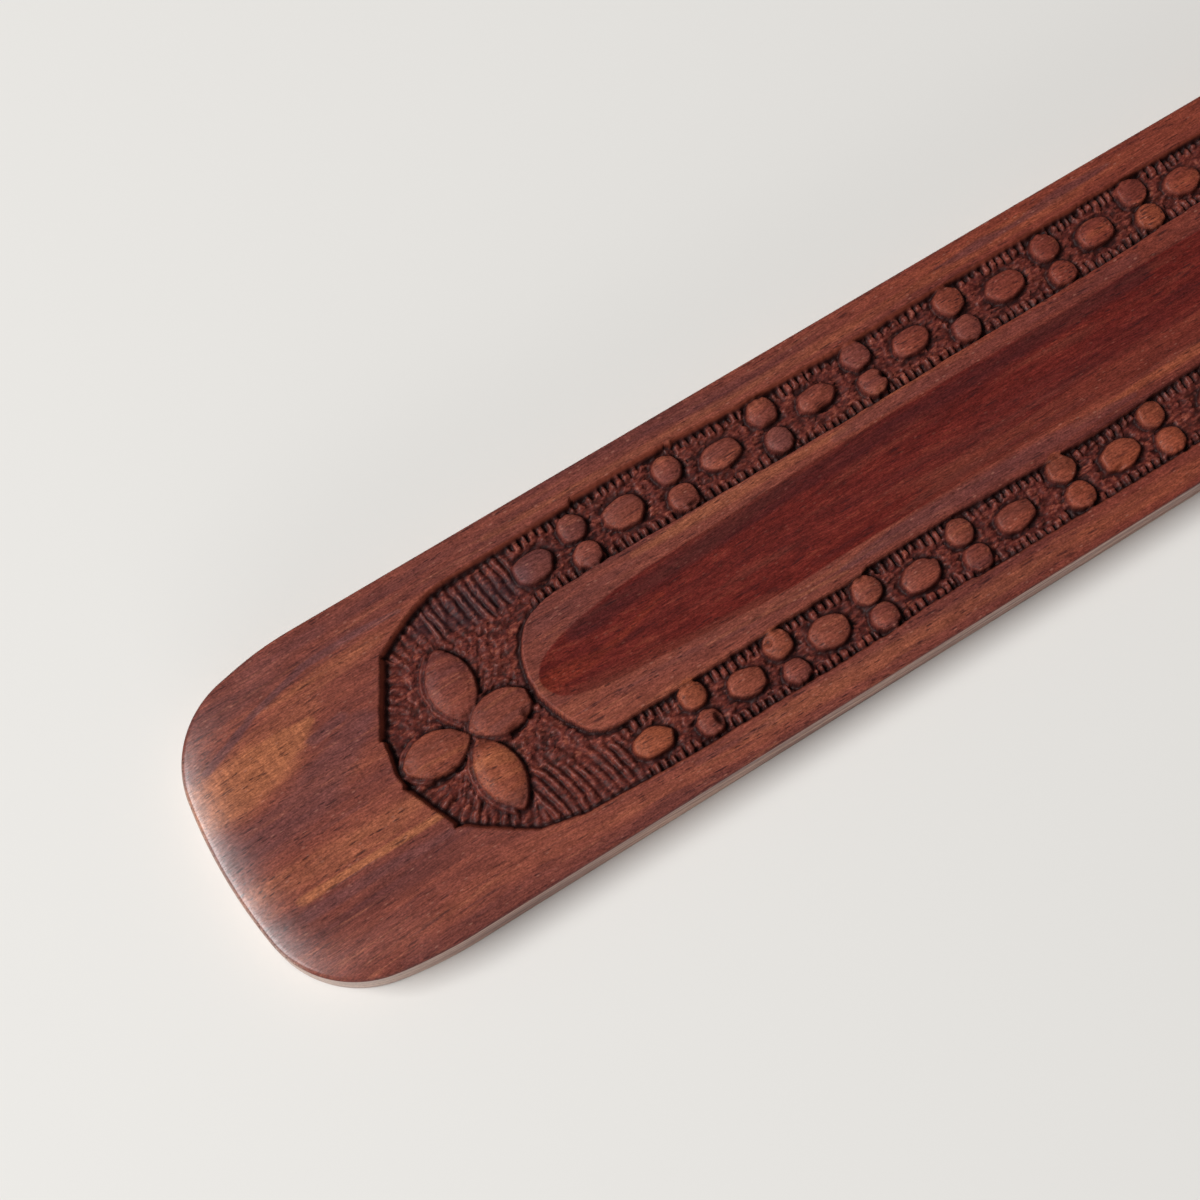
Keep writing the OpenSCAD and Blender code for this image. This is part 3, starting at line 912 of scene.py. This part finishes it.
def lay_out_map(mesh, places):
    """A map to bake through: the top in two halves, the underside, the long sides, the ends and the hole."""
    sizes = np.array([len(face) for face in parts.faces])
    corner = np.concatenate(parts.faces)
    normal = np.zeros((sizes.size, 3))
    mesh.polygons.foreach_get("normal", normal.ravel())
    normal = np.repeat(normal, sizes, axis=0)
    region = np.repeat(np.array(parts.regions), sizes)
    middle = np.repeat(np.add.reduceat(places[corner, 0], np.cumsum(sizes) - sizes) / sizes, sizes)
    x, y, z = places[corner].T
    along = x / BOARD_L + 0.5
    across = y / (2 * HALF_W) + 0.5
    up = z / TALLEST
    top_side = region == "top"
    tail = middle < 0
    long_side = (region == "side") & (np.abs(normal[:, 1]) >= np.abs(normal[:, 0]))
    end_side = (region == "side") & ~long_side
    near_side = normal[:, 1] < 0
    # Corners, the two measures they are laid out by, and the left, foot, width and height of their patch.
    # The hole has three: each half of its wall, and its bottom.
    patches = [
        (top_side & tail, along, across, 0.005, 0.004, 1.98, 0.32),
        (top_side & ~tail, along - 0.5, across, 0.005, 0.332, 1.98, 0.32),
        (region == "under", along, across, 0.005, 0.66, 0.99, 0.16),
        (long_side & near_side, along, up, 0.005, 0.828, 0.99, 0.052),
        (long_side & ~near_side, along, up, 0.005, 0.888, 0.99, 0.052),
        (end_side & tail, across, up, 0.005, 0.946, 0.16, 0.052),
        (end_side & ~tail, across, up, 0.185, 0.946, 0.16, 0.052),
    ]
    for k, part in enumerate((normal[:, 1] < -0.3, normal[:, 1] > 0.3, np.abs(normal[:, 1]) <= 0.3)):
        patches.append(((region == "hole") & part, along * 20 - 19, up, 0.40 + 0.12 * k, 0.946, 0.10, 0.052))
    spot = np.zeros((corner.size, 2))
    for where, a, b, left, foot, wide, high in patches:
        spot[where, 0] = left + wide * a[where]
        spot[where, 1] = foot + high * b[where]
    mesh.uv_layers.new(name="OFBake").uv.foreach_set("vector", spot.ravel().astype(np.float32))


def make_mesh():
    mesh = bpy.data.meshes.new("carved_board")
    places = np.concatenate(parts.places)
    mesh.from_pydata((places * MM).tolist(), [], parts.faces)
    lay_out_map(mesh, places)
    for name, values in parts.fields.items():
        layer = mesh.attributes.new(name, "FLOAT", "POINT")
        layer.data.foreach_set("value", np.concatenate(values).astype(np.float32))
    mesh.polygons.foreach_set("use_smooth", np.ones(len(mesh.polygons), bool))
    mesh.validate()
    mesh.update()
    return mesh


board = bpy.data.objects.new("carved_board", make_mesh())
bpy.context.scene.collection.objects.link(board)

# ---- materials


def srgb(*rgb):
    """A colour as it looks on screen, 0 to 255, as the linear colour that Blender takes."""
    shares = [value / 255 for value in rgb]
    return (*(c / 12.92 if c <= 0.04045 else ((c + 0.055) / 1.055) ** 2.4 for c in shares), 1.0)


class Nodes:
    """Short ways to add shader nodes. An input is given as a socket or as a plain value."""

    def __init__(self, tree):
        self.tree = tree

    def put(self, socket, value):
        if isinstance(value, bpy.types.NodeSocket):
            self.tree.links.new(value, socket)
        else:
            socket.default_value = value

    def node(self, kind, inputs=(), **settings):
        made = self.tree.nodes.new(kind)
        for name, value in settings.items():
            setattr(made, name, value)
        for key, value in dict(inputs).items():
            self.put(made.inputs[key], value)
        return made

    def first(self, *given, **settings):
        """The first output of a new node."""
        return self.node(*given, **settings).outputs[0]

    def math(self, operation, a, b, clamp=False):
        return self.first("ShaderNodeMath", {0: a, 1: b}, operation=operation, use_clamp=clamp)

    def times(self, a, b):
        return self.math("MULTIPLY", a, b)

    def plus(self, a, b):
        return self.math("ADD", a, b)

    def field(self, name):
        return self.node("ShaderNodeAttribute", attribute_name=name).outputs["Fac"]

    def range(self, value, low, high, to_low=0.0, to_high=1.0):
        inputs = enumerate((value, low, high, to_low, to_high))
        return self.first("ShaderNodeMapRange", inputs, interpolation_type="SMOOTHSTEP")

    def colour(self, share, a, b, blend="MIX"):
        inputs = {0: share, 6: a, 7: b}
        return self.node("ShaderNodeMix", inputs, data_type="RGBA", blend_type=blend).outputs[2]

    def vector(self, operation, *inputs):
        return self.first("ShaderNodeVectorMath", enumerate(inputs), operation=operation)

    def tint(self, colour, share, *rgb):
        """The colour mixed with a plain one."""
        return self.colour(share, colour, srgb(*rgb))

    def scaled(self, vector, *sizes):
        """A place in units of its own size each way."""
        return self.vector("MULTIPLY", vector, [1 / size for size in sizes])

    def noise(self, vector, sizes, detail, roughness=0.5, distortion=0.0, output="Fac"):
        inputs = {"Vector": self.scaled(vector, *sizes), "Scale": 1.0, "Detail": detail}
        inputs.update({"Roughness": roughness, "Distortion": distortion})
        return self.node("ShaderNodeTexNoise", inputs).outputs[output]

    def ramp(self, value, *stops):
        made = self.node("ShaderNodeValToRGB", {0: value})
        marks = made.color_ramp.elements
        while len(marks) < len(stops):
            marks.new(0.5)
        for mark, (place, colour) in zip(marks, stops):
            mark.position = place
            mark.color = colour
        return made.outputs[0]

    def wood_ramp(self, value, *stops):
        """A ramp of plain colours: each stop is its place and the colour's red, green and blue."""
        return self.ramp(value, *((place, srgb(*rgb)) for place, *rgb in stops))

    def shaded(self, colour, share, value, low, dark, high, pale):
        """Darkens and lightens a colour by a noise, which leaves it alone at 0.5."""
        shade = self.ramp(value, (low, (*dark, 1)), (0.5, (1, 1, 1, 1)), (high, (*pale, 1)))
        return self.colour(share, colour, shade, "MULTIPLY")


def new_material(name, settings):
    """A material with one principled shader, its nodes, and its output's surface."""
    material = bpy.data.materials.new(name)
    material.use_nodes = True
    material.node_tree.nodes.clear()
    n = Nodes(material.node_tree)
    shader = n.node("ShaderNodeBsdfPrincipled", settings)
    out = n.node("ShaderNodeOutputMaterial", {"Surface": shader.outputs[0]})
    return material, n, shader, out.inputs["Surface"]


def grain_place(n, mm):
    """A place in millimetres, wandering a little across the board as the grain does."""
    warp = n.noise(mm, (55, 16, 16), 2, output="Color")
    return n.vector("MULTIPLY_ADD", warp, (0, 5, 5), mm)


def figured_wood(n, mm, grain, amber, plum, breakup):
    """The wood's own colours, and those of its streaks."""
    colour = n.wood_ramp(
        n.noise(grain, (60, 3.2, 3.2), 4, 0.62),
        (0.30, 94, 48, 44),
        (0.42, 109, 55, 46),
        (0.52, 119, 60, 48),
        (0.62, 128, 66, 50),
        (0.74, 142, 80, 56),
    )
    colour = n.tint(colour, n.math("MULTIPLY", amber, 1.1, True), 155, 91, 61)
    colour = n.tint(colour, n.math("MULTIPLY", plum, 0.9, True), 99, 58, 57)
    # Lines along the grain, clear in some zones and faint in others.
    lined = n.range(n.noise(grain, (26, 5, 5), 2, 0.5), 0.42, 0.6, 0.3, 1.0)
    lines = n.noise(grain, (14, 0.55, 0.55), 3, 0.65)
    colour = n.tint(colour, n.times(lined, n.range(lines, 0.54, 0.72, 0, 0.6)), 78, 40, 40)
    colour = n.tint(colour, n.times(lined, n.range(lines, 0.46, 0.28, 0, 0.5)), 154, 90, 66)
    # Mottling, and ripples across the grain that are strongest in the amber wood.
    mottle = n.noise(grain, (3.2, 1.2, 1.2), 3, 0.6)
    ripple = n.noise(mm, (0.8, 3.4, 3.4), 2, 0.55, 0.6)
    ripple = n.times(n.math("SUBTRACT", ripple, 0.5), n.plus(n.times(amber, 0.9), 0.25))
    uneven = n.plus(n.plus(mottle, ripple), n.times(n.math("SUBTRACT", breakup, 0.5), 0.3))
    colour = n.shaded(colour, 0.9, uneven, 0.25, (0.76, 0.73, 0.74), 0.75, (1.26, 1.29, 1.26))
    # The wood grows redder towards the head.
    redder = n.range(n.first("ShaderNodeSeparateXYZ", {0: mm}), -60, -5)
    return n.colour(redder, colour, (0.93, 0.76, 0.72, 1), "MULTIPLY")


def trough_wood(n, grain, amber, plum):
    """The ash trough's wood: scraped, oiled again and darker red."""
    red = n.wood_ramp(
        n.noise(grain, (7, 0.8, 0.8), 4, 0.72),
        (0.28, 70, 22, 21),
        (0.44, 89, 26, 22),
        (0.58, 105, 35, 28),
        (0.72, 126, 56, 41),
    )
    zone = n.noise(grain, (42, 3.6, 3.6), 3, 0.6)
    red = n.tint(red, n.range(zone, 0.50, 0.66, 0, 0.55), 106, 54, 42)
    red = n.tint(red, n.times(amber, 0.8), 150, 58, 32)
    return n.tint(red, n.times(plum, 0.9), 66, 25, 26)


def pores(n, grain, length, across, low, high, seed):
    """Short scratches along the grain, one a cell: the more of them, the lower the range of their numbers."""
    moved = n.vector("ADD", grain, (seed, seed, seed))
    inputs = {"Vector": n.scaled(moved, length, across, across), "Scale": 1.0}
    cells = n.node("ShaderNodeTexVoronoi", inputs, feature="F1")
    number = n.first("ShaderNodeSeparateColor", {0: cells.outputs["Color"]})
    return n.times(n.range(cells.outputs["Distance"], 0.30, 0.12), n.range(number, low, high))


# How deep the fibres and pores look, in metres.
BUMP_D = 0.00008


def rosewood():
    """Oiled rosewood, cut from the solid: streaks, fibres and pores run along the board."""
    settings = {"Specular IOR Level": 0.14, "Coat Roughness": 0.34, "Coat IOR": 1.7}
    material, n, shader, _ = new_material("rosewood", settings)
    mm = n.scaled(n.node("ShaderNodeTexCoord").outputs["Object"], MM, MM, MM)
    grain = grain_place(n, mm)
    breakup = n.noise(grain, (9, 0.5, 0.5), 4, 0.65)
    broken = n.times(n.math("SUBTRACT", breakup, 0.5), 1.1)

    def streaks(kind, ragged, full):
        """Where the streaks of a kind lie, with their ends and edges broken along the grain."""
        field = n.field(kind)
        return n.times(n.range(n.plus(field, n.times(broken, ragged)), 0.05, full), field)

    amber = streaks(AMBER, 0.8, 0.95)
    plum = streaks(PLUM, -0.8, 0.9)
    colour = figured_wood(n, mm, grain, amber, plum, breakup)
    # Beads have tones of their own.
    bead_tone = n.field("tone")
    colour = n.tint(colour, n.range(bead_tone, 0.0, 1.0, 0, 0.6), 150, 78, 46)
    colour = n.tint(colour, n.range(bead_tone, 0.0, -1.0, 0, 0.75), 88, 54, 54)
    colour = n.colour(n.times(n.field("trough"), 0.95), colour, trough_wood(n, grain, amber, plum))

    # The sawn side is paler, in layers, partly as a painted sheen, and paler still round the tail, where
    # painted highlight and wear lighten it.
    side = n.field("side")
    saw = n.noise(grain, (30, 6.0, 0.6), 4, 0.62)
    pale = n.wood_ramp(saw, (0.36, 84, 50, 40), (0.5, 134, 94, 78), (0.62, 178, 142, 122))
    colour = n.colour(n.times(side, 0.9), colour, pale)
    # Painted highlight and wear: paler round the tail's end and its sides.
    colour = n.tint(colour, n.times(n.field("rubbed"), 0.7), 200, 180, 166)

    fibre = n.noise(grain, (1.5, 0.16, 0.16), 3, 0.72)
    share = n.range(side, 0, 1, 0.75, 0.5)
    colour = n.shaded(colour, share, fibre, 0.30, (0.5, 0.46, 0.46), 0.70, (1.5, 1.54, 1.58))
    speck = n.noise(mm, (0.32, 0.2, 0.2), 2, 0.7)
    share = n.range(side, 0, 1, 0.8, 0.3)
    colour = n.shaded(colour, share, speck, 0.30, (0.56, 0.52, 0.52), 0.70, (1.45, 1.48, 1.52))

    # Pores: many small dark ones, longer ones, and more in the zones where the wood is coarser.
    pore = pores(n, grain, 2.0, 0.36, 0.55, 0.7, 0.0)
    pore = n.math("MAXIMUM", pore, pores(n, grain, 4.2, 0.5, 0.64, 0.78, 31.0))
    coarse = n.range(n.noise(grain, (45, 9, 9), 2, 0.5), 0.48, 0.62)
    pore = n.math("MAXIMUM", pore, n.times(pores(n, grain, 2.0, 0.32, 0.35, 0.6, 67.0), coarse))
    flecks = pores(n, grain, 1.1, 0.42, 0.72, 0.85, 93.0)
    colour = n.tint(colour, n.times(flecks, n.range(n.field("trough"), 0, 1, 0.35, 0.12)), 176, 118, 100)
    colour = n.tint(colour, n.times(pore, n.range(coarse, 0, 1, 0.55, 0.75)), 44, 20, 22)

    # The cut walls are bare and orange, the ground dark with wax and dust.
    colour = n.tint(colour, n.times(n.field("cut"), 0.7), 132, 62, 44)
    ground = n.field("ground")
    chips = n.plus(n.noise(mm, (0.7, 0.35, 0.35), 3, 0.65), n.times(n.field("chip"), 0.30))
    dark = n.wood_ramp(chips, (0.44, 32, 11, 11), (0.62, 72, 25, 22), (0.76, 102, 41, 33), (0.9, 150, 82, 64))
    colour = n.colour(n.times(ground, 0.85), colour, dark)
    colour = n.tint(colour, n.times(n.times(ground, plum), 0.65), 40, 25, 31)
    # Painted highlight on the ground's ridges and chips.
    colour = n.tint(colour, n.times(n.field("peak"), 0.4), 140, 72, 58)
    # Painted shade in the hollows, along the wall feet and the arris, and down the stick hole.
    colour = n.tint(colour, n.times(n.field("cavity"), 0.85), 26, 11, 12)
    n.put(shader.inputs["Base Color"], colour)

    rough = n.plus(n.range(fibre, 0.3, 0.7, 0.46, 0.58), n.times(ground, 0.12))
    n.put(shader.inputs["Roughness"], n.plus(rough, n.times(side, 0.12)))
    # The ends and the side are buffed smooth by handling, and wax shines here and there on the ground.
    buffed = n.times(n.field("polish"), n.range(fibre, 0.35, 0.6, 0.6, 1.0))
    waxed = n.math("MAXIMUM", n.times(ground, 0.03), n.times(n.field("peak"), 0.14))
    n.put(shader.inputs["Coat Weight"], n.math("MAXIMUM", buffed, waxed))
    height = n.math("SUBTRACT", fibre, n.times(pore, 0.8))
    bump = n.first("ShaderNodeBump", {"Strength": 0.35, "Distance": BUMP_D, "Height": height})
    n.put(shader.inputs["Normal"], bump)
    return material


board.data.materials.append(rosewood())
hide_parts("board")
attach(board, "root")

# ---- floor, light and camera

BACKGROUND = srgb(226, 224, 220)
# The floor shows the light and the shadow up to the near distance, and the plain background from the far one.
FLOOR_SIZE = 40.0
FLOOR_NEAR = 0.18
FLOOR_FAR = 0.50
SKY_LIGHT = 0.16
LAMP_TARGET = Vector((-0.05, 0, 0))


def add_floor():
    """A pale floor that takes the board's shadow and runs out into the plain background."""
    bpy.ops.mesh.primitive_plane_add(size=FLOOR_SIZE)
    floor = bpy.context.object
    floor.name = "floor"
    settings = {"Base Color": BACKGROUND, "Roughness": 0.7}
    material, n, shader, surface = new_material("pale_floor", settings)
    place = n.node("ShaderNodeTexCoord").outputs["Object"]
    away = n.node("ShaderNodeVectorMath", {0: place}, operation="LENGTH").outputs["Value"]
    seen = n.node("ShaderNodeLightPath").outputs["Is Camera Ray"]
    far = n.first("ShaderNodeEmission", {"Color": BACKGROUND})
    share = n.times(n.range(away, FLOOR_NEAR, FLOOR_FAR), seen)
    n.put(surface, n.first("ShaderNodeMixShader", {0: share, 1: shader.outputs[0], 2: far}))
    floor.data.materials.append(material)


def add_lamp(name, place, size, power):
    """A soft oblong lamp, which the camera doesn't see."""
    lamp = bpy.data.lights.new(name, "AREA")
    lamp.shape = "RECTANGLE"
    lamp.size, lamp.size_y = size
    lamp.energy = power
    thing = bpy.data.objects.new(name, lamp)
    thing.location = place
    aim = LAMP_TARGET - Vector(place)
    thing.rotation_euler = aim.to_track_quat("-Z", "Y").to_euler()
    thing.visible_camera = False
    bpy.context.scene.collection.objects.link(thing)


def add_world():
    """Soft white light from all round, which the camera sees as the plain background."""
    world = bpy.data.worlds.new("studio")
    bpy.context.scene.world = world
    world.use_nodes = True
    world.node_tree.nodes.clear()
    n = Nodes(world.node_tree)
    seen = n.node("ShaderNodeLightPath").outputs["Is Camera Ray"]
    soft = n.first("ShaderNodeBackground", {0: (1, 1, 1, 1), 1: SKY_LIGHT})
    plain = n.first("ShaderNodeBackground", {0: BACKGROUND, 1: 1.0})
    n.node("ShaderNodeOutputWorld", {0: n.first("ShaderNodeMixShader", {0: seen, 1: soft, 2: plain})})


# The camera as fitted to the photograph: where it stands, how far it is turned and leant, and its lens.
CAMERA_PLACE = (-0.1135, -0.058, 0.2384)
CAMERA_TURN = np.radians(32.2)
CAMERA_LEAN = np.radians(17.624)
CAMERA_LENS = 65.46
SENSOR_W = 36.0


def add_camera():
    data = bpy.data.cameras.new("camera")
    data.lens = CAMERA_LENS
    data.sensor_width = SENSOR_W
    data.clip_start = 0.01
    camera = bpy.data.objects.new("camera", data)
    camera.location = CAMERA_PLACE
    camera.rotation_euler = (CAMERA_LEAN, 0, -CAMERA_TURN)
    bpy.context.scene.collection.objects.link(camera)
    bpy.context.scene.camera = camera


add_floor()
add_lamp("key", (-1.52, 0.46, 1.80), (1.54, 0.93), 63.5)
add_lamp("front", (-1.18, -1.55, 0.38), (2.0, 0.5), 13.8)
add_world()
add_camera()
bpy.context.scene.view_settings.view_transform = "Standard"
